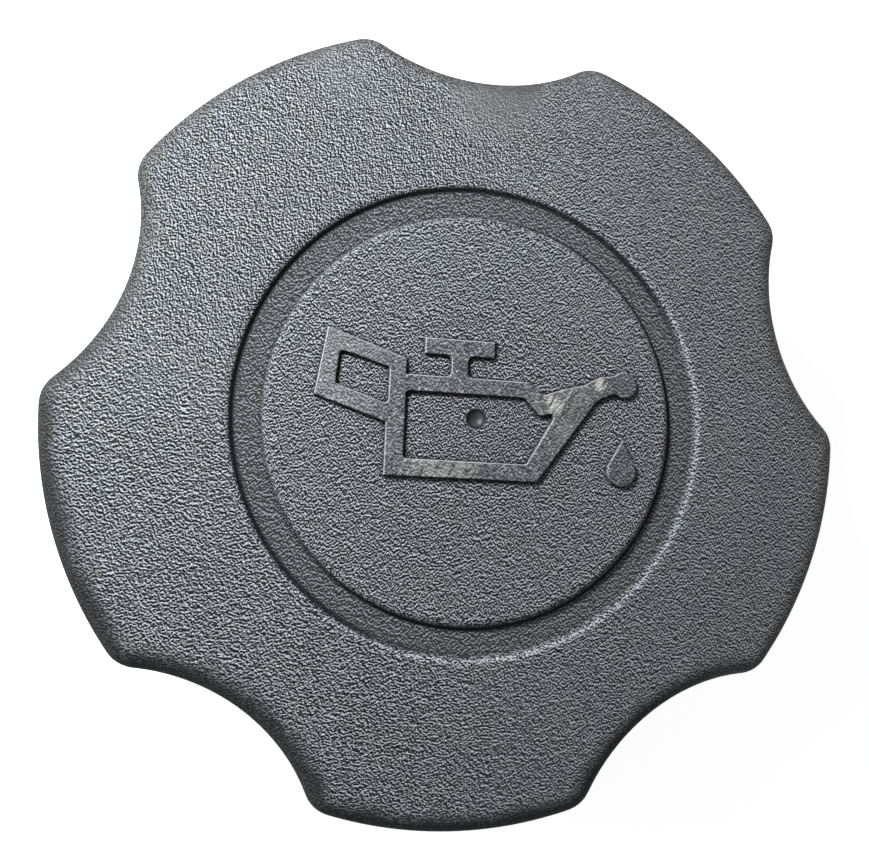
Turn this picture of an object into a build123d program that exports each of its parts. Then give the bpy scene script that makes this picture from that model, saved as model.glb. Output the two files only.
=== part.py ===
from build123d import *

import os
from math import acos, asin, cos, degrees, radians, sin, sqrt, tan

# Oil filler cap for a car engine, in millimetres: a hand knob with finger scallops on a hollow stem with two
# bayonet lugs, moulded as one piece, and the rubber ring that seals it.
# +Z is up. The origin is on the cap's axis, in the plane of the stem's end, on which the cap stands.
# The oil can symbol reads upright when it is seen from above with +Y at the top.

# Knob
knob_radius = 40.0  # over the grip lobes, at the skirt's lower edge
knob_height = 16.0  # from the skirt's lower edge to the top of the dome
lobe_count = 5
scallop_depth = 5.2  # of the finger scallops, from the circle over the lobes
scallop_radius = 18.7
first_scallop_angle = 90.0  # one scallop is straight above the symbol
lobe_corner_radius = 3.7
wall_draft = 1.5  # degrees
dome_radius = 240.0
shoulder_radius = 2.4
rim_radius = 0.6
skirt_wall = 2.6
top_wall = 3.0

# Disc and the groove round it
disc_radius = 19.5
groove_width = 3.45
groove_depth = 0.75
disc_wall_lean = 0.35
groove_wall_lean = 0.55
disc_edge_radius = 0.9
groove_edge_radius = 1.0
gate_radius = 0.9
gate_depth = 0.55
gate_edge_radius = 0.1

# Stem and bayonet
stem_radius = 20.0
stem_wall = 3.0
stem_reach = 12.0  # how far the stem stands out below the skirt
stem_lead_in = 0.8
neck_grip = 10.0  # from the sealing ring's lower face to the lugs' locking face
lug_count = 2
lug_height = 4.0
lug_width = 14.0
lug_projection = 3.5
lug_ramp_rise = 1.4
lug_ramp_length = 5.0
lug_stop_height = 1.6
lug_stop_width = 2.6

# Sealing ring and its seat
ring_thickness = 3.2
ring_width = 6.6
ring_clearance = 0.1
ring_recess = 0.4
ring_edge_radius = 0.6
seat_depth = 5.0  # from the top of the dome to the seat that the ring lies against
seat_border = 0.8

# Ribs under the knob
rib_thickness = 1.6
rib_clearance = 1.0  # between the ribs' shallow part and the filler neck's rim
neck_rim_radius = 31.0
buttress_depth = 1.8  # how far the ribs' deep part stays above the skirt's lower edge

# Oil can symbol, in relief on the disc
symbol_relief = 0.45
symbol_draft = 6.0  # degrees
symbol_corner_radius = 0.35
symbol_edge_radius = 0.13
can_left = -8.5
can_foot = -5.75
can_shoulder = 3.77
can_right = 5.0
can_foot_right = 6.05
can_wall = 1.75
can_band = 1.55
can_foot_band = 1.65
spout_root = (11.7, 2.3)
spout_bend = (12.35, 2.75)
spout_throat = (14.0, 3.45)
spout_mouth_centre = (14.6, 4.2)
spout_mouth_radius = 1.25
spout_lip = (13.7, 5.0)
spout_crest = (12.2, 4.8)
spout_back = (10.45, 3.85)
spout_heel = (8.5, 3.35)
spout_valley = (6.4, 2.6)
window_right = 4.5
window_point = (6.15, 0.55)
window_notch = (7.85, 1.05)
window_foot_right = 4.95
handle_top = (-14.15, 7.7)
handle_foot = (-15.1, 1.4)
handle_slope = -18.6  # degrees
handle_right = -6.8
handle_hole_top = (-13.0, 5.7)
handle_hole_foot = (-13.3, 2.5)
handle_hole_slope = -16.6  # degrees
handle_hole_right = -8.35
filler_bar_left = -5.15
filler_bar_right = 1.5
filler_bar_top = 7.35
filler_bar_height = 1.55
filler_stem_left = -2.6
filler_stem_width = 1.6
filler_corner_radius = 0.5
drop_centre = (14.6, -4.25)
drop_radius = 1.45
drop_length = 4.4

# Places and heights that follow from the sizes above
scallop_distance = knob_radius - scallop_depth + scallop_radius
skirt_foot = stem_reach
crown = skirt_foot + knob_height
seat = crown - seat_depth
sealing_plane = seat - ring_thickness
lug_top = sealing_plane - neck_grip
lug_foot = lug_top - lug_height
dome_centre = crown - dome_radius
ceiling_radius = dome_radius - top_wall
symbol_top = crown + 2 * symbol_relief
symbol_bottom = dome_centre + sqrt(dome_radius**2 - disc_radius**2) - symbol_relief
symbol_mean_top = dome_centre + sqrt(dome_radius**2 - (disc_radius / 2) ** 2) + symbol_relief
recess_foot = sealing_plane - ring_clearance
ring_inner = stem_radius - ring_recess + ring_clearance
ring_outer = ring_inner + ring_width
seat_outer = ring_outer + seat_border
rib_start = ring_outer + seat_border / 2
top_reach = knob_radius + 2 * skirt_wall  # how far the sections of the domes run past the knob
groove_outer = disc_radius + groove_width
groove_floor = dome_centre + sqrt(dome_radius**2 - (groove_outer - groove_width / 2) ** 2) - groove_depth
gate_floor = dome_centre + sqrt(dome_radius**2 - gate_radius**2) - gate_depth
gate_cup_radius = (gate_radius**2 + gate_depth**2) / (2 * gate_depth)
gate_half_angle = degrees(asin(gate_radius / gate_cup_radius))


def dome_height(radius):
    """Height of the knob's domed top at a distance from the axis."""
    return dome_centre + sqrt(dome_radius**2 - radius**2)


def lobed_outline(inset):
    """Sketch the knob's outline in plan, moved inwards by inset all round."""
    Circle(knob_radius - inset)
    with PolarLocations(scallop_distance, lobe_count, first_scallop_angle):
        Circle(scallop_radius + inset, mode=Mode.SUBTRACT)
    fillet(vertices(), lobe_corner_radius - inset)


def domed_block(radius, lift):
    """A round block about the axis that ends at a dome of this radius, lifted from the knob's own."""
    centre = dome_centre + lift
    with BuildPart() as block:
        with BuildSketch(Plane.XZ):
            with BuildLine():
                outside = (top_reach, centre + sqrt(radius**2 - top_reach**2))
                Line((0, 0), (top_reach, 0))
                Line((top_reach, 0), outside)
                RadiusArc(outside, (0, centre + radius), -radius)
                Line((0, centre + radius), (0, 0))
            make_face()
        revolve(axis=Axis.Z)
    return block.part


def along(point, slope, x):
    """The point at x on the line that leaves a point at a slope in degrees."""
    return (x, point[1] + (x - point[0]) * tan(radians(slope)))


def straight_face(*points):
    """Sketch a closed shape with straight sides."""
    with BuildSketch(mode=Mode.PRIVATE) as shape:
        with BuildLine():
            Polyline(*points, close=True)
        make_face()
    add(shape.sketch)


def rounded_face(radius, *points):
    """A closed shape with straight sides and rounded corners, as a sketch of its own."""
    with BuildSketch(mode=Mode.PRIVATE) as shape:
        with BuildLine():
            Polyline(*points, close=True)
        make_face()
        fillet(shape.vertices(), radius)
    return shape.sketch


def relief(outline):
    """Raise an outline from the disc, with drafted sides and a rounded top parallel to the dome."""
    with BuildPart() as raised:
        extrude(outline, amount=symbol_top - symbol_bottom, dir=(0, 0, -1))
        draft(raised.faces().filter_by(Axis.Z, reverse=True), Plane.XY.offset(symbol_mean_top), symbol_draft)
        add(relief_block, mode=Mode.INTERSECT)
        top_face = raised.faces().filter_by(GeomType.SPHERE).sort_by(SortBy.AREA)[-1]
        fillet(top_face.edges(), symbol_edge_radius)
    return raised.part


ceiling_block = domed_block(ceiling_radius, 0)
relief_block = domed_block(dome_radius, symbol_relief)

# The top of the cap as a half section turned about the axis: gate mark, disc, groove and flange
with BuildPart() as top:
    with BuildSketch(Plane.XZ) as top_section:
        with BuildLine():
            gate_edge = (gate_radius, dome_height(gate_radius))
            disc_edge = (disc_radius, dome_height(disc_radius))
            groove_edge = (groove_outer, dome_height(groove_outer))
            outside = (top_reach, dome_height(top_reach))
            Line((0, 0), (top_reach, 0))
            Line((top_reach, 0), outside)
            RadiusArc(outside, groove_edge, -dome_radius)
            Line(groove_edge, (groove_outer - groove_wall_lean, groove_floor))
            Line((groove_outer - groove_wall_lean, groove_floor), (disc_radius + disc_wall_lean, groove_floor))
            Line((disc_radius + disc_wall_lean, groove_floor), disc_edge)
            RadiusArc(disc_edge, gate_edge, -dome_radius)
            cup = CenterArc((0, gate_floor + gate_cup_radius), gate_cup_radius, -90, gate_half_angle)
            Line(cup @ 0, (0, 0))
        make_face()
        fillet(top_section.vertices().sort_by_distance(disc_edge)[0], disc_edge_radius)
        fillet(top_section.vertices().sort_by_distance(groove_edge)[0], groove_edge_radius)
        fillet(top_section.vertices().sort_by_distance(gate_edge)[0], gate_edge_radius)
    revolve(axis=Axis.Z)

# The outside of the knob
with BuildPart() as knob:
    with BuildSketch(Plane.XY.offset(skirt_foot)):
        lobed_outline(0)
    extrude(amount=crown)
    draft(knob.faces().filter_by(Axis.Z, reverse=True), Plane.XY.offset(skirt_foot), wall_draft)
    add(top.part, mode=Mode.INTERSECT)
    flange = knob.faces().filter_by(GeomType.SPHERE).sort_by(SortBy.AREA)[-1]
    fillet(flange.outer_wire().edges(), shoulder_radius)
    fillet(knob.faces().sort_by(Axis.Z)[0].edges(), rim_radius)

# The room inside the skirt, up to the ceiling, and never narrower than the sealing ring needs
with BuildPart() as hollow:
    with BuildSketch(Plane.XY.offset(skirt_foot)):
        lobed_outline(skirt_wall)
        Circle(rib_start)
    extrude(amount=knob_height)
    draft(hollow.faces().filter_by(Axis.Z, reverse=True), Plane.XY.offset(skirt_foot), wall_draft)
    add(ceiling_block, mode=Mode.INTERSECT)

# The oil can symbol, drawn in the plane just above its top
with BuildSketch(Plane.XY.offset(symbol_top)) as can:
    # can with its spout
    straight_face(
        (can_left, can_foot),
        (can_foot_right, can_foot),
        spout_root,
        spout_bend,
        spout_throat,
        spout_mouth_centre,
        spout_lip,
        spout_crest,
        spout_back,
        spout_heel,
        spout_valley,
        (can_right, can_shoulder),
        (can_left, can_shoulder),
    )
    with Locations(spout_mouth_centre):
        Circle(spout_mouth_radius)
    # handle
    straight_face(
        handle_top,
        along(handle_top, handle_slope, handle_right),
        (handle_right, can_shoulder - can_band),
        along(handle_foot, handle_slope, can_left + can_wall / 2),
        handle_foot,
    )
    # filler on top of the can
    bar_foot = filler_bar_top - filler_bar_height
    stem_right = filler_stem_left + filler_stem_width
    with Locations((filler_bar_left, bar_foot)):
        Rectangle(filler_bar_right - filler_bar_left, filler_bar_height, align=(Align.MIN, Align.MIN))
    with Locations((filler_stem_left, can_shoulder)):
        Rectangle(filler_stem_width, bar_foot - can_shoulder, align=(Align.MIN, Align.MIN))
    beside_stem = vertices().filter_by_position(Axis.X, filler_stem_left, stem_right)
    fillet(beside_stem.filter_by_position(Axis.Y, can_shoulder, bar_foot), filler_corner_radius)
    # openings of the can and of the handle
    add(
        rounded_face(
            symbol_corner_radius,
            (can_left + can_wall, can_shoulder - can_band),
            (window_right, can_shoulder - can_band),
            window_point,
            window_notch,
            (window_foot_right, can_foot + can_foot_band),
            (can_left + can_wall, can_foot + can_foot_band),
        ),
        mode=Mode.SUBTRACT,
    )
    add(
        rounded_face(
            symbol_corner_radius,
            handle_hole_top,
            along(handle_hole_top, handle_hole_slope, handle_hole_right),
            along(handle_hole_foot, handle_slope, handle_hole_right),
            handle_hole_foot,
        ),
        mode=Mode.SUBTRACT,
    )

# The drop under the spout: a circle and the two tangents to it that meet at the drop's tip
with BuildSketch(Plane.XY.offset(symbol_top)) as drop:
    tip_distance = drop_length - drop_radius
    half_angle = acos(drop_radius / tip_distance)
    flank_x = drop_radius * sin(half_angle)
    flank_y = drop_radius * cos(half_angle)
    with Locations(drop_centre):
        Circle(drop_radius)
    straight_face(
        drop_centre,
        (drop_centre[0] + flank_x, drop_centre[1] + flank_y),
        (drop_centre[0], drop_centre[1] + tip_distance),
        (drop_centre[0] - flank_x, drop_centre[1] + flank_y),
    )

can_relief = relief(can.sketch)
drop_relief = relief(drop.sketch)

# Stem with its bayonet lugs
with BuildPart() as lugs:
    for index in range(lug_count):
        across = Plane.XY.rotated((0, 0, 360 * index / lug_count))
        with BuildSketch(Plane(origin=(0, 0, 0), x_dir=across.y_dir, z_dir=across.x_dir)):
            half = lug_width / 2
            with BuildLine():
                Polyline(
                    (-half, lug_foot),
                    (half, lug_foot),
                    (half, lug_top + lug_stop_height),
                    (half - lug_stop_width, lug_top + lug_stop_height),
                    (half - lug_stop_width, lug_top),
                    (lug_ramp_length - half, lug_top),
                    (-half, lug_top - lug_ramp_rise),
                    close=True,
                )
            make_face()
        extrude(amount=stem_radius + lug_projection)
    with BuildSketch():
        Circle(stem_radius + lug_projection)
        Circle(stem_radius - stem_wall / 2, mode=Mode.SUBTRACT)
    extrude(amount=sealing_plane, mode=Mode.INTERSECT)

# Ribs from the seat out to the skirt: one in each lobe and one behind each scallop
with BuildPart() as ribs:
    for index in range(2 * lobe_count):
        angle = first_scallop_angle + 180 * index / lobe_count
        with BuildSketch(Plane.XZ.rotated((0, 0, angle))):
            with BuildLine():
                Polyline(
                    (rib_start, crown),
                    (rib_start, sealing_plane + rib_clearance),
                    (neck_rim_radius, sealing_plane + rib_clearance),
                    (neck_rim_radius, skirt_foot + buttress_depth),
                    (knob_radius, skirt_foot + buttress_depth),
                    (knob_radius, crown),
                    close=True,
                )
            make_face()
        extrude(amount=rib_thickness / 2, both=True)
    add(hollow.part, mode=Mode.INTERSECT)

# The bore of the stem, up to the ceiling
with BuildPart() as bore:
    with BuildSketch():
        Circle(stem_radius - stem_wall)
    extrude(amount=crown)
    add(ceiling_block, mode=Mode.INTERSECT)

# Cap body: everything that is moulded in one piece
with BuildPart() as cap_body:
    add(knob.part)
    add(hollow.part, mode=Mode.SUBTRACT)
    add(ribs.part)
    with BuildSketch(Plane.XY.offset(seat)):
        Circle(seat_outer)
    extrude(amount=top_wall)
    with BuildSketch():
        Circle(stem_radius)
    extrude(amount=recess_foot)
    chamfer(cap_body.edges().filter_by(GeomType.CIRCLE).sort_by(Axis.Z)[0], stem_lead_in)
    with BuildSketch(Plane.XY.offset(recess_foot)):
        Circle(stem_radius - ring_recess)
    extrude(amount=seat - recess_foot)
    add(lugs.part)
    add(bore.part, mode=Mode.SUBTRACT)
    add(can_relief)
    add(drop_relief)
cap_body.part.label = "cap_body"

# Sealing ring: a flat rubber washer with rounded edges
with BuildPart() as sealing_ring:
    with BuildSketch(Plane.XY.offset(sealing_plane)):
        Circle(ring_outer)
        Circle(ring_inner, mode=Mode.SUBTRACT)
    extrude(amount=ring_thickness)
    fillet(sealing_ring.edges().filter_by(GeomType.CIRCLE), ring_edge_radius)
sealing_ring.part.label = "sealing_ring"

os.makedirs("parts", exist_ok=True)
export_step(cap_body.part, "parts/cap_body.step")
export_step(sealing_ring.part, "parts/sealing_ring.step")
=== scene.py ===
"""Looks for the oil filler cap: finishes, sealing ring, light and camera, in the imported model's frame."""
import logging
import math
from dataclasses import dataclass
from enum import Enum
from typing import Dict, Optional, Sequence, Tuple, Union

import bpy
from mathutils import Matrix, Vector


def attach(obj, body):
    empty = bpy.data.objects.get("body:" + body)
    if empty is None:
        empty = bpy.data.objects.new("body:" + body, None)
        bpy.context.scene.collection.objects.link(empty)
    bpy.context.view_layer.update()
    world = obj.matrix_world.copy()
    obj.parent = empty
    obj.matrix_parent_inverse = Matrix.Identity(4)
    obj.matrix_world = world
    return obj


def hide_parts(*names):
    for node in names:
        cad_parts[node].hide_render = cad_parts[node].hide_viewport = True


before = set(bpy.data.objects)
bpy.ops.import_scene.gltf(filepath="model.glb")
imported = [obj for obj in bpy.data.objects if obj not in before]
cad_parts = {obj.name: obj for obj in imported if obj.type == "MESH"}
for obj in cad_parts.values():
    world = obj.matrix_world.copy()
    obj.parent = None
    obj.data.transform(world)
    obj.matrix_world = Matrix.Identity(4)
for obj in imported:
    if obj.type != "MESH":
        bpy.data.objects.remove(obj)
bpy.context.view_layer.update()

log = logging.getLogger("oil_filler_cap")

MM = 0.001
Colour = Tuple[float, float, float]
Number = Union["Signal", float]


class Signal:
    """One number that varies over a surface or a shape; arithmetic on it adds Math nodes to its tree."""

    def __init__(self, home: "Tree", socket: bpy.types.NodeSocket) -> None:
        """Wrap a socket.

        Args:
            home: The tree that the socket belongs to.
            socket: An output socket that carries one number.
        """
        self.home = home
        self.socket = socket

    def __add__(self, other: Number) -> "Signal":
        """Sum of two numbers."""
        return self.home.maths("ADD", self, other)

    def __radd__(self, other: Number) -> "Signal":
        """Sum with a plain number on the left."""
        return self.home.maths("ADD", other, self)

    def __sub__(self, other: Number) -> "Signal":
        """Difference of two numbers."""
        return self.home.maths("SUBTRACT", self, other)

    def __rsub__(self, other: Number) -> "Signal":
        """Difference with a plain number on the left."""
        return self.home.maths("SUBTRACT", other, self)

    def __mul__(self, other: Number) -> "Signal":
        """Product of two numbers."""
        return self.home.maths("MULTIPLY", self, other)

    def __rmul__(self, other: Number) -> "Signal":
        """Product with a plain number on the left."""
        return self.home.maths("MULTIPLY", other, self)

    def __truediv__(self, other: Number) -> "Signal":
        """Quotient of two numbers."""
        return self.home.maths("DIVIDE", self, other)

    def __rtruediv__(self, other: Number) -> "Signal":
        """Quotient with a plain number on the left."""
        return self.home.maths("DIVIDE", other, self)

    def __abs__(self) -> "Signal":
        """Size of a number without its sign."""
        return self.home.maths("ABSOLUTE", self)

    def least(self, other: Number) -> "Signal":
        """The smaller of two numbers."""
        return self.home.maths("MINIMUM", self, other)

    def most(self, other: Number) -> "Signal":
        """The larger of two numbers."""
        return self.home.maths("MAXIMUM", self, other)

    def rise(self, low: float, high: float) -> "Signal":
        """Smooth step from 0 to 1.

        Args:
            low: Where the step leaves 0.
            high: Where it reaches 1, above low.

        Returns:
            The step's value.
        """
        return self.home.step(self, low, high)

    def fall(self, low: float, high: float) -> "Signal":
        """Smooth step from 1 to 0 between low and high."""
        return self.home.step(self, low, high, 1.0, 0.0)

    def between(self, start: float, full: float, fading: float, end: float) -> "Signal":
        """Smooth band.

        Args:
            start: Up to where it is 0.
            full: From where it is 1.
            fading: Up to where it is 1.
            end: From where it is 0 again.

        Returns:
            The band's value.
        """
        return self.rise(start, full) * self.fall(fading, end)


def strongest(signals: Sequence[Signal]) -> Signal:
    """Take the largest of several numbers at each point.

    Args:
        signals: One or more numbers.

    Returns:
        The largest.
    """
    largest = signals[0]
    for signal in signals[1:]:
        largest = largest.most(signal)
    return largest


class Tree:
    """A node tree, filled node by node."""

    def __init__(self, tree: bpy.types.NodeTree) -> None:
        """Keep an empty tree.

        Args:
            tree: The tree to fill.
        """
        self.tree = tree

    def node(
        self,
        kind: str,
        settings: Optional[Dict[str, object]] = None,
        inputs: Optional[Dict[Union[str, int], object]] = None,
    ) -> bpy.types.Node:
        """Add a node of any type.

        Args:
            kind: The node's type.
            settings: Its properties, set before its sockets are.
            inputs: Values or links for its sockets, by name or place.

        Returns:
            The node.
        """
        made = self.tree.nodes.new(kind)
        for name, value in (settings or {}).items():
            setattr(made, name, value)
        for name, value in (inputs or {}).items():
            self.feed(made.inputs[name], value)
        return made

    def feed(self, socket: bpy.types.NodeSocket, value: object) -> None:
        """Give a socket a value or a link.

        Args:
            socket: The input socket.
            value: A Signal, an output socket, or a plain value.
        """
        if isinstance(value, Signal):
            self.tree.links.new(value.socket, socket)
        elif isinstance(value, bpy.types.NodeSocket):
            self.tree.links.new(value, socket)
        elif socket.type == "RGBA" and isinstance(value, tuple) and len(value) == 3:
            socket.default_value = (*value, 1.0)
        else:
            socket.default_value = value

    def maths(self, operation: str, *values: Number) -> Signal:
        """Work out one Math node.

        Args:
            operation: The node's operation.
            values: Its one to three numbers.

        Returns:
            The result.
        """
        made = self.node("ShaderNodeMath", {"operation": operation}, dict(enumerate(values)))
        return Signal(self, made.outputs[0])

    def step(self, value: Signal, low: float, high: float, first: float = 0.0, last: float = 1.0) -> Signal:
        """Smooth step of a number.

        Args:
            value: The number.
            low: Where the step starts.
            high: Where it ends.
            first: Its value up to low.
            last: Its value from high on.

        Returns:
            The step's value.
        """
        made = self.node(
            "ShaderNodeMapRange",
            {"interpolation_type": "SMOOTHSTEP"},
            {"Value": value, "From Min": low, "From Max": high, "To Min": first, "To Max": last},
        )
        return Signal(self, made.outputs["Result"])

    def measure(self, operation: str, *vectors: object) -> Signal:
        """Work out a number from vectors.

        Args:
            operation: The Vector Math node's operation, such as DOT_PRODUCT.
            vectors: Its vectors, as sockets or plain values.

        Returns:
            The number.
        """
        made = self.node("ShaderNodeVectorMath", {"operation": operation}, dict(enumerate(vectors)))
        return Signal(self, made.outputs["Value"])

    def split(self, vector: bpy.types.NodeSocket) -> Tuple[Signal, Signal, Signal]:
        """Take a vector apart.

        Args:
            vector: The vector's socket.

        Returns:
            Its x, y and z.
        """
        parts = self.node("ShaderNodeSeparateXYZ", inputs={0: vector}).outputs
        return Signal(self, parts[0]), Signal(self, parts[1]), Signal(self, parts[2])


class Shader(Tree):
    """A node tree of a material or of the world, written as expressions."""

    def __init__(
        self,
        owner: Union[bpy.types.Material, bpy.types.World],
        output: str = "ShaderNodeOutputMaterial",
    ) -> None:
        """Empty the owner's tree and give it its output.

        Args:
            owner: The new material or world.
            output: The type of its output node.
        """
        self.owner = owner
        self.owner.use_nodes = True
        super().__init__(owner.node_tree)
        self.tree.nodes.clear()
        self.output = self.node(output)

    def place(self) -> bpy.types.NodeSocket:
        """Point on the surface in the object's own frame, in millimetres."""
        spot = self.node("ShaderNodeTexCoord").outputs["Object"]
        scaled = self.node("ShaderNodeVectorMath", {"operation": "SCALE"}, {0: spot, "Scale": 1.0 / MM})
        return scaled.outputs[0]

    def drawn_out(
        self,
        vector: bpy.types.NodeSocket,
        turn: float,
        ratio: float,
        aside: float = 0.0,
    ) -> bpy.types.NodeSocket:
        """Lengthen what a pattern shows along one direction in plan.

        Args:
            vector: The place that the pattern reads.
            turn: The direction, in degrees from +X.
            ratio: How many times longer it gets.
            aside: How far the pattern is moved across the direction, in millimetres.

        Returns:
            The place to read instead.
        """
        angle = math.radians(turn)
        made = self.node(
            "ShaderNodeMapping",
            {"vector_type": "TEXTURE"},
            {
                "Vector": vector,
                "Location": (-math.sin(angle) * aside, math.cos(angle) * aside, 0.0),
                "Rotation": (0.0, 0.0, angle),
                "Scale": (ratio, 1.0, 1.0),
            },
        )
        return made.outputs[0]

    def noise(
        self,
        vector: bpy.types.NodeSocket,
        per_mm: float,
        detail: float = 1.0,
        coarse: float = 0.5,
    ) -> Signal:
        """Smooth random field from 0 to 1.

        Args:
            vector: Place in millimetres.
            per_mm: Cells of the field in a millimetre.
            detail: How many finer layers are added.
            coarse: How strong each finer layer is.

        Returns:
            The field.
        """
        made = self.node(
            "ShaderNodeTexNoise",
            inputs={
                "Vector": vector,
                "Scale": per_mm,
                "Detail": detail,
                "Roughness": coarse,
            },
        )
        return Signal(self, made.outputs[0])

    def openness(self, reach: float) -> Signal:
        """How open the surface is within a reach in metres: 1 on a plain face, less in a corner."""
        made = self.node(
            "ShaderNodeAmbientOcclusion",
            {"samples": 8, "only_local": True},
            {"Distance": reach},
        )
        return Signal(self, made.outputs["AO"])

    def seen(self) -> Signal:
        """1 for what the camera, a mirror or a lens shows, and 0 for what only lights the scene."""
        path = self.node("ShaderNodeLightPath")
        camera, glossy, through = (
            Signal(self, path.outputs[f"Is {kind} Ray"])
            for kind in ("Camera", "Glossy", "Transmission")
        )
        return (camera + glossy + through).least(1.0)

    def blend(self, first: object, second: object, share: Number) -> bpy.types.NodeSocket:
        """Mix two colours.

        Args:
            first: The colour at share 0.
            second: The colour at share 1.
            share: How much of the second is taken.

        Returns:
            The mixed colour's socket.
        """
        made = self.node(
            "ShaderNodeMix",
            {"data_type": "RGBA"},
            {0: share, 6: first, 7: second},
        )
        return made.outputs[2]

    def relief(self, height: Signal, rise: float, strength: Number = 1.0) -> bpy.types.NodeSocket:
        """Shade a height as if the surface had it.

        Args:
            height: The height, in units of rise.
            rise: One unit of height, in metres.
            strength: How much of it shows.

        Returns:
            The normal's socket.
        """
        inputs = {"Height": height, "Distance": rise, "Strength": strength}
        return self.node("ShaderNodeBump", inputs=inputs).outputs[0]

    def layer(self, constants: Dict[str, object], varying: Dict[str, object]) -> bpy.types.NodeSocket:
        """Make one surface.

        Args:
            constants: Values that hold all over it.
            varying: Signals or sockets for what changes over it.

        Returns:
            The surface's socket.
        """
        return self.node("ShaderNodeBsdfPrincipled", inputs={**constants, **varying}).outputs[0]

    def finish(
        self,
        surface: bpy.types.NodeSocket,
        over: Optional[bpy.types.NodeSocket] = None,
        share: Optional[Signal] = None,
    ) -> Union[bpy.types.Material, bpy.types.World]:
        """Put one surface, or two that are mixed, on the output.

        Args:
            surface: The main surface.
            over: The surface that partly covers it.
            share: How much of it is covered.

        Returns:
            The owner of the tree.
        """
        if over is not None:
            surface = self.node("ShaderNodeMixShader", inputs={0: share, 1: surface, 2: over}).outputs[0]
        self.feed(self.output.inputs["Surface"], surface)
        return self.owner


class ShapeTree(Tree):
    """A Geometry Nodes tree with named sizes, turned into a plain mesh piece."""

    def __init__(self, name: str, sizes: Dict[str, float]) -> None:
        """Make the tree and its inputs.

        Args:
            name: The tree's name.
            sizes: Its named inputs in metres.
        """
        super().__init__(bpy.data.node_groups.new(name, "GeometryNodeTree"))
        self.sizes = sizes
        face = self.tree.interface
        face.new_socket("Geometry", in_out="INPUT", socket_type="NodeSocketGeometry")
        face.new_socket("Geometry", in_out="OUTPUT", socket_type="NodeSocketGeometry")
        for size in sizes:
            face.new_socket(size, in_out="INPUT", socket_type="NodeSocketFloat")
        self.given = self.node("NodeGroupInput").outputs

    def size(self, name: str) -> Signal:
        """One of the tree's named sizes."""
        return Signal(self, self.given[name])

    def piece(self, geometry: bpy.types.NodeSocket, material: bpy.types.Material) -> bpy.types.Object:
        """End the tree, run it and keep its mesh.

        Args:
            geometry: What the tree has made.
            material: The finish of all of it.

        Returns:
            A new object with a plain mesh and no modifier.
        """
        real = self.node("GeometryNodeRealizeInstances", inputs={"Geometry": geometry}).outputs[0]
        dressed = self.node("GeometryNodeSetMaterial", inputs={"Geometry": real, "Material": material})
        self.node("NodeGroupOutput", inputs={0: dressed.outputs[0]})
        piece = bpy.data.objects.new(self.tree.name, bpy.data.meshes.new(self.tree.name))
        bpy.context.scene.collection.objects.link(piece)
        modifier = piece.modifiers.new("shape", "NODES")
        modifier.node_group = self.tree
        for item in self.tree.interface.items_tree:
            if item.in_out == "INPUT" and item.name in self.sizes:
                modifier[item.identifier] = self.sizes[item.name]
        seen = piece.evaluated_get(bpy.context.evaluated_depsgraph_get())
        mesh = bpy.data.meshes.new_from_object(seen)
        piece.modifiers.clear()
        piece.data = mesh
        mesh.name = self.tree.name
        return piece


@dataclass(frozen=True)
class CapPlan:
    """Sizes of the cap that its finish follows, in millimetres."""

    knob_radius: float = 40.0
    lobe_count: int = 5
    scallop_depth: float = 5.2
    scallop_radius: float = 18.7
    dome_radius: float = 240.0
    crown: float = 28.0
    skirt_foot: float = 12.0
    disc_radius: float = 19.5
    groove_width: float = 3.45
    gate_radius: float = 0.9

    @property
    def scallop_distance(self) -> float:
        """Distance from the axis to the middle of a scallop's circle."""
        return self.knob_radius - self.scallop_depth + self.scallop_radius

    @property
    def groove_rim(self) -> float:
        """Radius of the groove's outer edge."""
        return self.disc_radius + self.groove_width


class Side(Enum):
    """Sides of the cap in plan that its marks, tones, painted highlights and painted shade belong to, in
    degrees from +X.
    """

    LIGHT = 135.0
    LEVEL_GRAIN = 200.0
    SLANTED_GRAIN = 128.0
    LIT_LOBES = 110.0
    SHADED_LOBES = 350.0
    LESS_SHADED_EDGE = 12.0
    SHADED_EDGE = 235.0
    LIT_DISC_FOOT = 150.0
    BRIGHT_LIP = 320.0

    def direction(self) -> Tuple[float, float, float]:
        """Unit vector in plan to this side."""
        return math.cos(math.radians(self.value)), math.sin(math.radians(self.value)), 0.0


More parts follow.
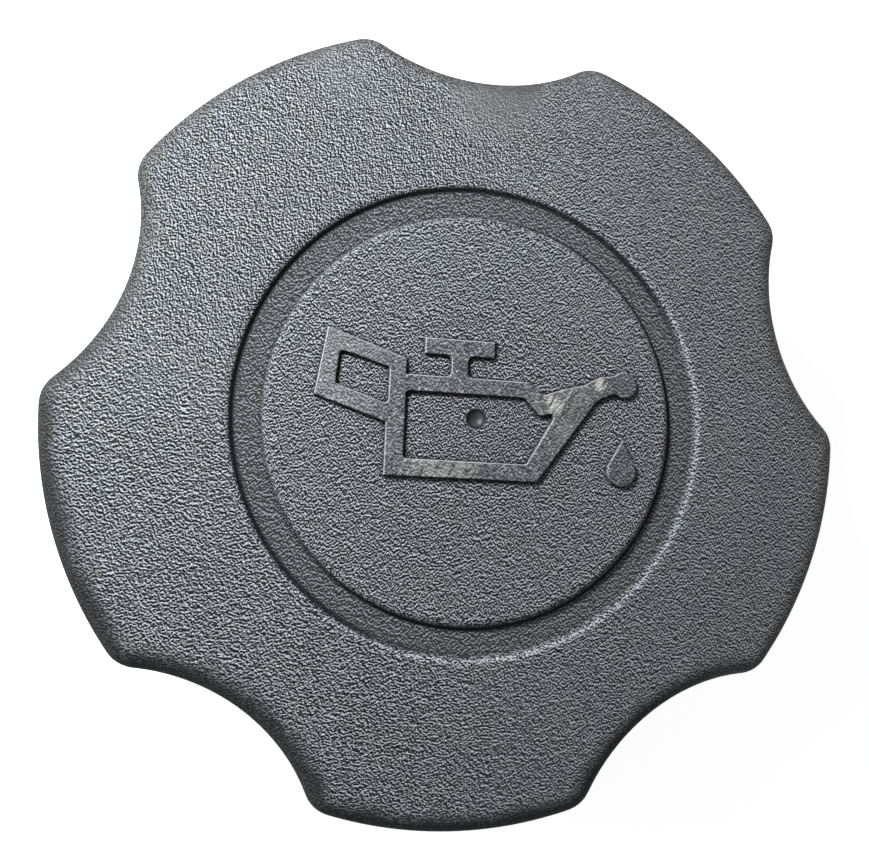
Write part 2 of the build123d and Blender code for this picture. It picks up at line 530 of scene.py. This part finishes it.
class CapZones:
    """Where on the cap a point lies, as signals in millimetres."""

    def __init__(self, shader: Shader, plan: CapPlan) -> None:
        """Work out the signals once for a shader.

        Args:
            shader: The shader that uses them.
            plan: The cap's sizes.
        """
        self.shader = shader
        self.place = shader.place()
        self.x, self.y, self.z = shader.split(self.place)
        self.plan = shader.node("ShaderNodeCombineXYZ", inputs={0: self.x, 1: self.y}).outputs[0]
        self.lean = shader.node("ShaderNodeTexCoord").outputs["Normal"]
        self.level = shader.measure("DOT_PRODUCT", self.lean, (0.0, 0.0, 1.0))
        self.radius = shader.measure("LENGTH", self.plan)
        self.reach = self.radius.most(0.5)
        lobe_half = math.pi / plan.lobe_count
        fold = shader.maths("PINGPONG", shader.maths("ARCTAN2", self.x, self.y), lobe_half)
        beside = self.radius * shader.maths("COSINE", fold) - plan.scallop_distance
        across = self.radius * shader.maths("SINE", fold)
        to_scallop = shader.maths("SQRT", beside * beside + across * across) - plan.scallop_radius
        self.from_rim = (plan.knob_radius - self.radius).least(to_scallop)
        drop = plan.dome_radius - shader.maths("SQRT", plan.dome_radius**2 - self.radius * self.radius)
        self.above_dome = self.z + drop - plan.crown

    def facing(self, side: Side) -> Signal:
        """How much the surface leans to one side in plan, from -1 to 1.

        Args:
            side: The side.

        Returns:
            The share.
        """
        return self.shader.measure("DOT_PRODUCT", self.lean, side.direction())

    def toward(self, side: Side) -> Signal:
        """How much of a point's way from the axis leads to one side, from -1 to 1.

        Args:
            side: The side.

        Returns:
            The share.
        """
        return self.shader.measure("DOT_PRODUCT", self.plan, side.direction()) / self.reach


class Stroke(Enum):
    """The etched grain's strokes: degrees from +X, length over width, and strokes in a millimetre."""

    LEVEL = (166.0, 1.6, 6.5)
    SLANTED = (147.0, 1.25, 6.4)
    SHORT = (177.0, 1.15, 6.4)


@dataclass(frozen=True)
class EtchedGrain:
    """Fine leather-like grain of the mould's etched faces."""

    detail: float = 0.95
    lip: float = 0.17
    lip_share: float = 0.84
    depth: float = 0.32
    # The pit and peak steps set where the grain's hollows get painted shade and where its tops get painted
    # highlights.
    pit_low: float = 0.40
    pit_high: float = 0.50
    pit_share: float = 0.97
    peak_low: float = 0.52
    peak_high: float = 0.60
    peak_share: float = 0.82

    def field(self, shader: Shader, place: bpy.types.NodeSocket, stroke: Stroke) -> Signal:
        """Height of the grain with one kind of stroke.

        Args:
            shader: The shader that uses it.
            place: Place in millimetres.
            stroke: How its strokes lie.

        Returns:
            The height, about 0.5 on average.
        """
        turn, ratio, per_mm = stroke.value
        pit, lip = (
            shader.noise(shader.drawn_out(place, turn, ratio, aside), per_mm, self.detail)
            for aside in (0.0, self.lip)
        )
        return (pit - lip) * self.lip_share + 0.5

    def on_top(self, shader: Shader, at: CapZones) -> Signal:
        """Grain of the etched top, whose strokes turn with the place.

        Args:
            shader: The shader that uses it.
            at: The cap's zones.

        Returns:
            The grain's height, about 0.5 on average.
        """
        flange = at.radius.rise(20.0, 24.0)
        left = at.toward(Side.LEVEL_GRAIN).rise(-0.25, 0.6) * flange
        slope = at.toward(Side.SLANTED_GRAIN).rise(0.45, 0.95) * flange
        grain = self.field(shader, at.place, Stroke.SHORT)
        grain = grain + (self.field(shader, at.place, Stroke.LEVEL) - grain) * left
        return grain + (self.field(shader, at.place, Stroke.SLANTED) - grain) * slope


@dataclass(frozen=True)
class Scratch:
    """A shallow scratch on the top, drawn in plan in millimetres."""

    start: Tuple[float, float]
    end: Tuple[float, float]
    width: float
    bow: float = 0.0
    depth: float = 1.0

    def line(self, at: CapZones) -> Signal:
        """Where the scratch is.

        Args:
            at: The cap's zones.

        Returns:
            The scratch's depth at the middle of its line, and 0 away from it.
        """
        reach = math.hypot(self.end[0] - self.start[0], self.end[1] - self.start[1])
        turn = math.atan2(self.end[1] - self.start[1], self.end[0] - self.start[0])
        beside = at.shader.node(
            "ShaderNodeMapping",
            {"vector_type": "TEXTURE"},
            {"Vector": at.plan, "Location": (*self.start, 0.0), "Rotation": (0.0, 0.0, turn)},
        )
        along, across, _ = at.shader.split(beside.outputs[0])
        arc = along * (reach - along)
        off = abs(across - arc * (4.0 * self.bow / reach**2))
        return off.fall(self.width * 0.25, self.width) * arc.rise(0.0, reach**2 * 0.16) * self.depth


@dataclass(frozen=True)
class WornSpot:
    """A round spot in plan where the finish is rubbed or pitted, in millimetres."""

    middle: Tuple[float, float]
    reach: float
    amount: float = 1.0

    def mask(self, at: CapZones, uneven: Number = 0.0) -> Signal:
        """How much of the spot is at a point.

        Args:
            at: The cap's zones.
            uneven: What is added to the distance, so that the edge isn't round.

        Returns:
            The amount in the middle, and 0 outside.
        """
        away = at.shader.measure("DISTANCE", at.plan, (*self.middle, 0.0)) + uneven
        return away.fall(self.reach * 0.35, self.reach) * self.amount


class CapMasks:
    """Where the cap's parts, its grain, its marks and its painted light and shade are, as signals from 0 to
    1.
    """

    def __init__(self, sh: Shader, at: CapZones, plan: CapPlan, plastic: "CapPlastic") -> None:
        """Work out the masks once for a shader.

        Args:
            sh: The shader that uses them.
            at: The cap's zones.
            plan: The cap's sizes.
            plastic: The finish that they belong to.
        """
        self.at_groove = at.radius.fall(plan.groove_rim + 0.25, plan.groove_rim + 0.65)
        self.skirt = at.from_rim.fall(1.3, 1.7) * at.z.rise(plan.skirt_foot - 0.5, plan.skirt_foot)
        self.outside = at.above_dome.rise(-1.6, -1.2).most(self.skirt)
        self.groove = at.above_dome.fall(-0.6, -0.35) * self.at_groove
        self.symbol = at.above_dome.rise(0.15, 0.35)
        ragged = sh.noise(at.place, 0.35, 2.0) - 0.5
        self.rim = (at.from_rim + ragged * 3.0).fall(1.2, 3.4)
        self.smooth = strongest([spot.mask(at, ragged * 6.0) for spot in plastic.rubbed])
        cuts = [scratch.line(at) for scratch in plastic.scratches]
        self.cuts = strongest(cuts + [pit.mask(at) for pit in plastic.pits])

        # Painted shade in and around the gate dimple, darkest at its wall.
        gate = plan.gate_radius
        cup_wall = at.radius.rise(gate - 0.3, gate - 0.05)
        self.dimple_shade = at.radius.fall(gate + 0.1, gate + 0.25) * (cup_wall * 0.7 + 0.25)
        # Painted shade: the disc darker towards its middle, and the lobes away from the light darker.
        self.disc_middle = at.radius.fall(3.0, plan.disc_radius)
        # Side whose groove wall faces the light: the painted shade line fades there and the lip's painted
        # highlight is strongest.
        self.far_side = at.toward(Side.BRIGHT_LIP).rise(0.1, 0.7)
        self.far_lobes = at.toward(Side.SHADED_LOBES).rise(-0.5, 0.6) * at.radius.rise(22.0, 34.0)
        self.painted_shade_lines = self.shade_at_feet(sh, at, plan)
        # Painted highlight on the symbol's rounded edges that face the light.
        rounded = at.above_dome.rise(0.25, 0.33) * at.level.between(0.5, 0.7, 0.93, 0.985)
        self.painted_edge_highlight = rounded * at.facing(Side.LIGHT).rise(0.0, 0.3)
        # Dull dark layer on the shoulders: a duller finish and painted shade, narrower towards the lit
        # lobes and weaker on one side.
        lit_lobes = at.toward(Side.LIT_LOBES).rise(-0.1, 0.8)
        edge = (at.from_rim + ragged * 1.4 + lit_lobes * 0.6).fall(1.3, 3.3)
        edge = edge * at.z.rise(plan.skirt_foot - 3.0, plan.skirt_foot)
        self.dull_and_shaded_edge = edge * (1.0 - at.toward(Side.LESS_SHADED_EDGE).rise(0.4, 0.95) * 0.45)

        shape = plastic.grain
        self.grain = shape.on_top(sh, at)
        smoothed = (1.0 - self.smooth * 0.7) * (1.0 - self.rim * 0.2) * (1.0 - self.groove * 0.3)
        cleared = (1.0 - at.radius.fall(gate + 0.05, gate + 0.2)) * (1.0 - self.symbol * 0.65)
        self.depth = smoothed * cleared * self.outside
        # Painted shade in the grain's hollows and painted highlights on the grain's tops.
        self.pits = self.grain.fall(shape.pit_low, shape.pit_high) * self.depth * shape.pit_share
        peaks = self.grain.rise(shape.peak_low, shape.peak_high) * self.depth * shape.peak_share
        self.peaks = peaks * (1.0 - self.groove * 0.25)
        # The groove's outer lip: a little lighter all round as wear, and much lighter on the side that
        # faces the light as a painted highlight.
        lip = at.radius.between(
            plan.groove_rim - 0.3,
            plan.groove_rim - 0.1,
            plan.groove_rim,
            plan.groove_rim + 0.3,
        )
        self.lip_wear_and_highlight = lip * self.grain.rise(0.40, 0.52)

    def shade_at_feet(self, sh: Shader, at: CapZones, plan: CapPlan) -> Signal:
        """Painted shade: dark lines along the groove's walls, the symbol's foot and in corners, weaker
        where they face the light.

        Args:
            sh: The shader that uses them.
            at: The cap's zones.
            plan: The cap's sizes.

        Returns:
            How dark a point is.
        """
        rim, disc = plan.groove_rim, plan.disc_radius
        # Painted shade along the groove's outer wall and at the disc's foot, fading on the sides that face
        # the light.
        rim_line = at.radius.between(rim - 0.95, rim - 0.6, rim - 0.35, rim - 0.1)
        rim_line = rim_line * (1.0 - self.far_side * 0.75)
        lit_foot = at.toward(Side.LIT_DISC_FOOT).rise(0.0, 0.8)
        disc_line = at.radius.between(disc + 0.1, disc + 0.25, disc + 0.5, disc + 0.65)
        disc_line = disc_line * (1.0 - lit_foot * 0.85)
        lit = at.facing(Side.LIGHT)
        wall = at.above_dome.rise(0.01, 0.04) * at.level.fall(0.6, 0.93)
        wall = wall * at.radius.fall(disc - 1.1, disc - 0.9)
        corner = sh.openness(0.8 * MM).fall(0.55, 0.93) * self.at_groove * self.outside
        return strongest(
            [
                rim_line.most(disc_line) * self.outside,
                wall * (1.0 - lit.rise(-0.1, 0.3) * 0.8),
                corner * (0.95 - lit.rise(0.0, 0.5) * 0.6),
            ]
        )


@dataclass(frozen=True)
class CapPlastic:
    """Black moulded plastic of the cap: etched on top, worn at the edges, plain inside, with painted
    highlights and painted shade on top.
    """

    # pit: near-black for painted shade in the grain's hollows, dark lines, corners and gate dimple, and for
    # scratches and draw marks.
    pit: Colour = (0.010, 0.012, 0.015)
    skin: Colour = (0.090, 0.099, 0.113)
    skin_warm: Colour = (0.097, 0.102, 0.102)
    # peak: pale colour for painted highlights on the grain's tops, the symbol's lit edges and the groove's
    # lip, and for light specks on the symbol.
    peak: Colour = (0.56, 0.59, 0.64)
    worn: Colour = (0.090, 0.097, 0.095)
    # groove_skin: the groove floor's own darker tone, with painted shade of the recess.
    groove_skin: Colour = (0.021, 0.024, 0.026)
    symbol_skin: Colour = (0.047, 0.051, 0.059)
    symbol_dark: Colour = (0.017, 0.020, 0.025)
    symbol_grip: Colour = (0.112, 0.117, 0.122)
    symbol_pale: Colour = (0.56, 0.56, 0.48)
    # edge: dark colour of the dull layer on the shoulders, partly painted shade.
    edge: Colour = (0.045, 0.050, 0.050)
    scuff: Colour = (0.26, 0.27, 0.27)
    inside: Colour = (0.052, 0.056, 0.060)
    oiled: Colour = (0.030, 0.026, 0.020)
    index: float = 1.5
    grain: EtchedGrain = EtchedGrain()
    scratches: Tuple[Scratch, ...] = (
        Scratch((-22.3, 28.75), (-18.5, 28.85), 0.16, -0.10, 1.0),
        Scratch((-19.2, 28.7), (-8.3, 33.3), 0.10, -0.5, 0.7),
        Scratch((-16.3, 29.7), (-7.6, 33.9), 0.12, 0.6, 0.6),
        Scratch((11.2, 32.6), (12.4, 26.8), 0.16, 0.4, 1.0),
        Scratch((13.0, 31.8), (14.6, 27.2), 0.15, -0.3, 0.9),
        Scratch((15.0, 31.2), (17.6, 26.4), 0.17, 0.4, 1.0),
        Scratch((16.2, 31.0), (19.0, 25.6), 0.14, 0.5, 0.8),
        Scratch((20.5, 27.4), (21.2, 21.8), 0.15, 0.35, 0.8),
    )
    pits: Tuple[WornSpot, ...] = (
        WornSpot((8.5, 33.42), 0.45),
        WornSpot((12.83, 35.14), 0.4),
        WornSpot((13.89, 33.07), 0.35),
    )
    rubbed: Tuple[WornSpot, ...] = (
        WornSpot((12.5, 34.6), 6.0, 0.45),
        WornSpot((1.0, 33.5), 7.0, 0.95),
        WornSpot((-14.0, 33.5), 5.0, 0.4),
    )
    pale: Tuple[WornSpot, ...] = (
        WornSpot((7.5, 1.9), 1.3),
        WornSpot((8.6, 3.0), 1.0, 0.7),
        WornSpot((12.3, 3.9), 0.95),
        WornSpot((9.0, 0.6), 6.0, 0.15),
    )

    @staticmethod
    def downward(sh: Shader, at: CapZones) -> bpy.types.NodeSocket:
        """Place that draws a pattern out along the axis, as the mould's opening does."""
        return sh.node(
            "ShaderNodeVectorMath",
            {"operation": "MULTIPLY"},
            {0: at.place, 1: (1.0, 1.0, 0.14)},
        ).outputs[0]

    def moulded_inside(self, sh: Shader, at: CapZones, fine: Signal) -> bpy.types.NodeSocket:
        """Colour of the plain faces under the knob: draw marks, flow clouds and an oily film near the stem.

        Args:
            sh: The material's shader.
            at: The cap's zones.
            fine: Fine random field.

        Returns:
            The colour's socket.
        """
        clouds = sh.noise(at.place, 0.18, 4.0, 0.6)
        draw = sh.noise(self.downward(sh, at), 1.6, 3.0, 0.65)
        colour = sh.blend(self.inside, self.worn, clouds.rise(0.4, 0.62))
        colour = sh.blend(colour, self.scuff, draw.rise(0.58, 0.72) * 0.18)
        colour = sh.blend(colour, self.pit, draw.fall(0.36, 0.46) * 0.35)
        oily = at.radius.fall(17.0, 22.0) * (clouds * 0.6 + fine * 0.4).rise(0.42, 0.6)
        return sh.blend(colour, self.oiled, oily * 0.7)

    def symbol_colour(self, sh: Shader, at: CapZones) -> bpy.types.NodeSocket:
        """Colour of the symbol's rubbed faces.

        Args:
            sh: The material's shader.
            at: The cap's zones.

        Returns:
            The colour's socket.
        """
        cloud = sh.noise(at.place, 0.55, 3.0, 0.6)
        brushed = sh.noise(sh.drawn_out(at.place, 70.0, 4.0), 2.6, 2.0, 0.6)
        speck = sh.noise(at.place, 3.4, 2.0, 0.7)
        colour = sh.blend(self.symbol_dark, self.symbol_skin, cloud.rise(0.38, 0.58))
        grip = at.x.fall(-10.2, -8.2) * cloud.rise(0.25, 0.5)
        colour = sh.blend(colour, self.symbol_grip, grip.most(brushed.rise(0.52, 0.7) * 0.5))
        colour = sh.blend(colour, self.pit, speck.fall(0.38, 0.47) * 0.75)
        colour = sh.blend(colour, self.peak, speck.rise(0.56, 0.66) * 0.55)
        streaks = sh.noise(sh.drawn_out(at.place, 62.0, 5.0), 1.8, 2.0, 0.6).rise(0.42, 0.56)
        ragged = (brushed - 0.5) * 1.2
        marks = strongest([spot.mask(at, ragged) for spot in self.pale])
        foot_band = at.y.fall(-4.2, -3.6) * at.x.fall(-1.0, 1.0) * at.x.rise(-8.0, -6.0) * 0.33
        return sh.blend(colour, self.symbol_pale, marks.most(foot_band) * streaks)

    def top_colour(self, sh: Shader, at: CapZones, on: CapMasks, tint: Signal) -> bpy.types.NodeSocket:
        """Colour of the etched faces, the groove and the symbol, with painted highlights and painted shade.

        Args:
            sh: The material's shader.
            at: The cap's zones.
            on: The cap's masks.
            tint: Slow random field that warms the skin here and there.

        Returns:
            The colour's socket.
        """
        colour = sh.blend(self.skin, self.skin_warm, tint.rise(0.42, 0.6))
        colour = sh.blend(colour, self.worn, on.rim.most(on.smooth) * 0.7)
        # Painted shade on the disc's middle and on the lobes away from the light.
        disc_and_lobe_shade = (on.disc_middle * 0.5).most(on.far_lobes * 0.18)
        colour = sh.blend(colour, self.pit, disc_and_lobe_shade)
        # Groove floor's darker tone, partly painted shade.
        colour = sh.blend(colour, self.groove_skin, on.groove)
        colour = sh.blend(colour, self.symbol_colour(sh, at), on.symbol)
        # Wear and painted highlight on the groove's lip.
        colour = sh.blend(colour, self.peak, on.lip_wear_and_highlight * (on.far_side * 0.45 + 0.3))
        # Scratches and pitted spots, with painted shade in the grain's hollows, along the dark lines and in
        # the gate dimple.
        dark_marks_and_shade = strongest([on.pits, on.cuts * 0.8, on.painted_shade_lines * 0.8, on.dimple_shade])
        colour = sh.blend(colour, self.pit, dark_marks_and_shade)
        # Painted highlights on the grain's tops and on the symbol's rounded edges that face the light.
        return sh.blend(colour, self.peak, on.peaks.most(on.painted_edge_highlight * 0.7))

    def dull_colour(self, sh: Shader, at: CapZones, on: CapMasks) -> bpy.types.NodeSocket:
        """Colour of the dull layer on the rim, in the grain's hollows and along the painted shade lines,
        with painted highlights on the grain's tops and painted shade away from the light.

        Args:
            sh: The material's shader.
            at: The cap's zones.
            on: The cap's masks.

        Returns:
            The colour's socket.
        """
        brushed = sh.noise(sh.drawn_out(at.place, 132.0, 9.0), 2.4, 2.0, 0.6).rise(0.55, 0.75)
        drawn = sh.noise(self.downward(sh, at), 2.2, 3.0, 0.6).rise(0.56, 0.7) * on.skirt * 0.6
        # Scuffs, and painted highlights on the grain's tops.
        shade = sh.blend(self.edge, self.scuff, (brushed.most(drawn) * 0.5).most(on.peaks * 0.8))
        # Painted shade on the side away from the light.
        away_from_light = at.toward(Side.SHADED_EDGE).rise(0.1, 0.8) * 0.75
        return sh.blend(shade, self.pit, strongest([on.pits, on.painted_shade_lines, away_from_light]))

    def made(self, plan: CapPlan) -> bpy.types.Material:
        """Build the material.

        Args:
            plan: The cap's sizes.

        Returns:
            The material.
        """
        sh = Shader(bpy.data.materials.new("cap_plastic"))
        at = CapZones(sh, plan)
        on = CapMasks(sh, at, plan, self)
        fine = sh.noise(at.place, 7.0, 1.0)
        tint = sh.noise(at.place, 0.22, 3.0, 0.6)
        normal = sh.relief(on.grain + fine * 0.12, self.grain.depth * MM, on.depth.most(0.08))
        colour = sh.blend(self.moulded_inside(sh, at, fine), self.top_colour(sh, at, on, tint), on.outside)
        roughness = 0.36 + (tint - 0.5) * 0.15 + on.groove * 0.2
        roughness = roughness + on.rim.most(on.smooth) * 0.1 + on.symbol * 0.05 + on.pits * 0.3
        skin = sh.layer(
            {"IOR": self.index, "Specular IOR Level": 0.35},
            {"Base Color": colour, "Roughness": roughness, "Normal": normal},
        )
        dull = sh.layer(
            {"IOR": self.index, "Roughness": 0.85, "Specular IOR Level": 0.08},
            {"Base Color": self.dull_colour(sh, at, on), "Normal": normal},
        )
        return sh.finish(skin, dull, strongest([on.dull_and_shaded_edge * 0.93, on.pits, on.painted_shade_lines * 0.9]))


@dataclass(frozen=True)
class SealRubber:
    """Matt black rubber of the sealing ring, with a faint bloom."""

    rubber: Colour = (0.022, 0.022, 0.023)
    bloom: Colour = (0.075, 0.073, 0.070)
    relief: float = 0.02
    index: float = 1.52

    def made(self) -> bpy.types.Material:
        """Build the material.

        Returns:
            The material.
        """
        sh = Shader(bpy.data.materials.new("seal_rubber"))
        place = sh.place()
        bloom = sh.noise(place, 0.4, 4.0, 0.6)
        skin = sh.noise(place, 6.0, 2.0)
        colour = sh.blend(self.rubber, self.bloom, bloom.rise(0.5, 0.75) * 0.6)
        roughness = 0.58 + (bloom - 0.5) * 0.3
        normal = sh.relief(skin, self.relief * MM)
        surface = sh.layer(
            {"IOR": self.index},
            {"Base Color": colour, "Roughness": roughness, "Normal": normal},
        )
        return sh.finish(surface)


@dataclass(frozen=True)
class PaleFloor:
    """White table that shows white to the camera and keeps the cap's shadow."""

    paint: Colour = (0.60, 0.60, 0.60)
    relief: float = 0.05
    glow: float = 0.935

    def made(self) -> bpy.types.Material:
        """Build the material.

        Returns:
            The material.
        """
        sh = Shader(bpy.data.materials.new("pale_floor"))
        grain = sh.noise(sh.place(), 0.05, 3.0)
        paint = sh.node(
            "ShaderNodeBsdfDiffuse",
            inputs={"Color": self.paint, "Normal": sh.relief(grain, self.relief * MM)},
        )
        glow = sh.node("ShaderNodeEmission", inputs={"Strength": sh.seen() * self.glow})
        both = sh.node("ShaderNodeAddShader", inputs={0: paint.outputs[0], 1: glow.outputs[0]})
        return sh.finish(both.outputs[0])


class CapBody:
    """The moulded cap: knob, symbol, ribs, stem and lugs in one piece, as the frame has it."""

    def __init__(self, plan: CapPlan, plastic: CapPlastic) -> None:
        """Keep what the body is dressed with.

        Args:
            plan: The cap's sizes.
            plastic: Its finish.
        """
        self.plan = plan
        self.plastic = plastic

    def dress(self) -> bpy.types.Object:
        """Give the frame's body its finish.

        Returns:
            The body's object.
        """
        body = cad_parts["cap_body"]
        body.data.materials.clear()
        body.data.materials.append(self.plastic.made(self.plan))
        return body


@dataclass
class SealingRing:
    """The rubber ring under the knob: a swept profile with grooves in its lower face, in millimetres."""

    rubber: SealRubber
    inner: float = 19.7
    outer: float = 26.3
    thickness: float = 3.2
    foot: float = 19.8
    edge_radius: float = 0.6
    groove_spacing: float = 1.65
    groove_depth: float = 0.28
    grooved_reach: float = 2.0
    grooved_fade: float = 0.3
    edge_steps: int = 6
    sides: int = 240
    step: float = 0.18

    def profile(self, nodes: ShapeTree) -> bpy.types.NodeSocket:
        """Outline of the ring's section.

        Args:
            nodes: The ring's tree.

        Returns:
            The outline's socket.
        """
        plain = nodes.node(
            "GeometryNodeCurvePrimitiveQuadrilateral",
            {"mode": "RECTANGLE"},
            {"Width": nodes.size("Width"), "Height": nodes.size("Thickness")},
        )
        rounded = nodes.node(
            "GeometryNodeFilletCurve",
            {"mode": "POLY"},
            {
                "Curve": plain.outputs[0],
                "Count": self.edge_steps,
                "Radius": nodes.size("Edge Radius"),
                "Limit Radius": True,
            },
        )
        even = nodes.node(
            "GeometryNodeResampleCurve",
            {"mode": "LENGTH"},
            {"Curve": rounded.outputs[0], "Length": self.step * MM},
        )
        return even.outputs[0]

    def grooved(self, nodes: ShapeTree, swept: bpy.types.NodeSocket) -> bpy.types.NodeSocket:
        """Press round grooves into the lower face.

        Args:
            nodes: The ring's tree.
            swept: The plain ring, centred on the origin.

        Returns:
            The grooved ring's socket, at its height.
        """
        x, y, z = nodes.split(nodes.node("GeometryNodeInputPosition").outputs[0])
        middle = nodes.size("Inner Radius") + nodes.size("Width") * 0.5
        from_middle = nodes.maths("SQRT", x * x + y * y) - middle
        wave = nodes.maths("COSINE", from_middle * (2.0 * math.pi) / nodes.size("Groove Spacing")).most(0.0)
        flat = abs(from_middle).fall(self.grooved_reach * MM, (self.grooved_reach + self.grooved_fade) * MM)
        below = nodes.maths("LESS_THAN", z, nodes.size("Thickness") * -0.49)
        rise = wave * flat * below * nodes.size("Groove Depth")
        lift = nodes.node("ShaderNodeCombineXYZ", inputs={2: rise}).outputs[0]
        cut = nodes.node("GeometryNodeSetPosition", inputs={"Geometry": swept, "Offset": lift}).outputs[0]
        height = nodes.size("Foot") + nodes.size("Thickness") * 0.5
        up = nodes.node("ShaderNodeCombineXYZ", inputs={2: height}).outputs[0]
        return nodes.node("GeometryNodeTransform", inputs={"Geometry": cut, "Translation": up}).outputs[0]

    def build(self) -> bpy.types.Object:
        """Sweep, groove and dress the ring.

        Returns:
            The ring's object.
        """
        nodes = ShapeTree(
            "rubber_seal",
            {
                "Inner Radius": self.inner * MM,
                "Width": (self.outer - self.inner) * MM,
                "Thickness": self.thickness * MM,
                "Foot": self.foot * MM,
                "Edge Radius": self.edge_radius * MM,
                "Groove Spacing": self.groove_spacing * MM,
                "Groove Depth": self.groove_depth * MM,
            },
        )
        path = nodes.node(
            "GeometryNodeCurvePrimitiveCircle",
            {"mode": "RADIUS"},
            {"Resolution": self.sides, "Radius": nodes.size("Inner Radius") + nodes.size("Width") * 0.5},
        )
        swept = nodes.node(
            "GeometryNodeCurveToMesh",
            inputs={"Curve": path.outputs[0], "Profile Curve": self.profile(nodes)},
        )
        grooved = self.grooved(nodes, swept.outputs[0])
        smooth = nodes.node("GeometryNodeSetShadeSmooth", inputs={"Geometry": grooved})
        ring = nodes.piece(smooth.outputs[0], self.rubber.made())
        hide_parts("sealing_ring")
        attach(ring, "root")
        return ring


@dataclass(frozen=True)
class Lamp:
    """A square soft light that faces the cap."""

    name: str
    turn: float
    height: float
    distance: float
    size: float
    watts: float

    def lit(self, aim: Vector) -> bpy.types.Object:
        """Hang the lamp.

        Args:
            aim: The point that it faces, in metres.

        Returns:
            The lamp's object.
        """
        data = bpy.data.lights.new(self.name, "AREA")
        data.energy = self.watts
        data.size = self.size
        lamp = bpy.data.objects.new(self.name, data)
        bpy.context.scene.collection.objects.link(lamp)
        turn, height = math.radians(self.turn), math.radians(self.height)
        level = math.cos(height)
        away = Vector((math.cos(turn) * level, math.sin(turn) * level, math.sin(height)))
        lamp.location = aim + away * self.distance
        lamp.rotation_euler = away.to_track_quat("Z", "Y").to_euler()
        return lamp


@dataclass(frozen=True)
class Studio:
    """Pale floor, soft lamps and a plain sky."""

    aim: Tuple[float, float, float] = (0.0, 0.0, 0.024)
    floor_reach: float = 3.0
    sky: float = 0.09
    lamps: Tuple[Lamp, ...] = (
        Lamp("key_lamp", 136.0, 38.0, 0.16, 0.03, 0.43),
        Lamp("side_lamp", 170.0, 34.0, 0.20, 0.09, 0.095),
    )

    def build(self) -> None:
        """Lay the floor, hang the lamps and light the sky."""
        mesh = bpy.data.meshes.new("floor")
        reach = self.floor_reach
        mesh.from_pydata(
            [(-reach, -reach, 0.0), (reach, -reach, 0.0), (reach, reach, 0.0), (-reach, reach, 0.0)],
            [],
            [(0, 1, 2, 3)],
        )
        floor = bpy.data.objects.new("floor", mesh)
        bpy.context.scene.collection.objects.link(floor)
        floor.data.materials.append(PaleFloor().made())
        for lamp in self.lamps:
            lamp.lit(Vector(self.aim))
        sh = Shader(bpy.data.worlds.new("sky"), "ShaderNodeOutputWorld")
        strength = sh.seen() * (1.0 - self.sky) + self.sky
        back = sh.node("ShaderNodeBackground", inputs={"Color": (1.0, 1.0, 1.0), "Strength": strength})
        bpy.context.scene.world = sh.finish(back.outputs[0])


@dataclass(frozen=True)
class PhotoCamera:
    """The photograph's camera: its tilt and turn round the cap, in degrees, millimetres and pixels."""

    tilt: float = 11.907
    turn: float = 208.459
    distance: float = 88.759
    crown: float = 28.0
    crown_at: Tuple[float, float] = (476.032, 418.737)
    middle_at: Tuple[float, float] = (494.5, 459.0)
    focal: float = 938.595
    image: Tuple[float, float] = (869.0, 868.0)
    symbol_turn: float = 3.0
    sensor: float = 36.0
    nearest: float = 10.0

    def axes(self) -> Tuple[Matrix, Vector]:
        """Work out the camera's rotation and place.

        Returns:
            The rotation whose rows are the camera's axes, and the place in millimetres.
        """
        tilt, turn = math.radians(self.tilt), math.radians(self.turn)
        c, s = math.cos(turn), math.sin(turn)
        back = Vector((math.sin(tilt) * c, math.sin(tilt) * s, math.cos(tilt)))
        outward = Vector((c * math.cos(tilt), s * math.cos(tilt), -math.sin(tilt)))
        sideways = Vector((-s, c, 0.0))
        upright = Matrix((outward * c - sideways * s, outward * s + sideways * c, back))
        ray = Vector(
            (
                (self.crown_at[0] - self.middle_at[0]) / self.focal,
                -(self.crown_at[1] - self.middle_at[1]) / self.focal,
                -1.0,
            )
        )
        swing = Vector((0.0, 0.0, -1.0)).rotation_difference(ray).to_matrix()
        spin = Matrix.Rotation(math.radians(self.symbol_turn), 3, "Z")
        place = spin @ (back * self.distance) + Vector((0.0, 0.0, self.crown))
        return swing @ upright @ spin.transposed(), place

    def stand(self) -> bpy.types.Object:
        """Put the camera in the scene.

        Returns:
            The camera's object.
        """
        data = bpy.data.cameras.new("photo_camera")
        data.sensor_width = self.sensor
        data.lens = self.focal / self.image[0] * self.sensor
        data.shift_x = (self.image[0] / 2 - self.middle_at[0]) / self.image[0]
        data.shift_y = (self.middle_at[1] - self.image[1] / 2) / self.image[0]
        data.clip_start = self.nearest * MM
        camera = bpy.data.objects.new("photo_camera", data)
        bpy.context.scene.collection.objects.link(camera)
        rows, place = self.axes()
        pose = rows.transposed().to_4x4()
        pose.translation = place * MM
        camera.matrix_world = pose
        bpy.context.scene.camera = camera
        return camera


def main() -> None:
    """Dress the cap, build the studio and stand the camera."""
    logging.basicConfig(level=logging.INFO, format="%(name)s: %(message)s")
    plan = CapPlan()
    body = CapBody(plan, CapPlastic()).dress()
    log.info("%s: %d faces", body.name, len(body.data.polygons))
    ring = SealingRing(SealRubber()).build()
    log.info("%s: %d faces", ring.name, len(ring.data.polygons))
    Studio().build()
    camera = PhotoCamera().stand()
    log.info("%s: lens %.1f mm", camera.name, camera.data.lens)
    bpy.context.scene.view_settings.view_transform = "Standard"


if __name__ == "__main__":
    main()
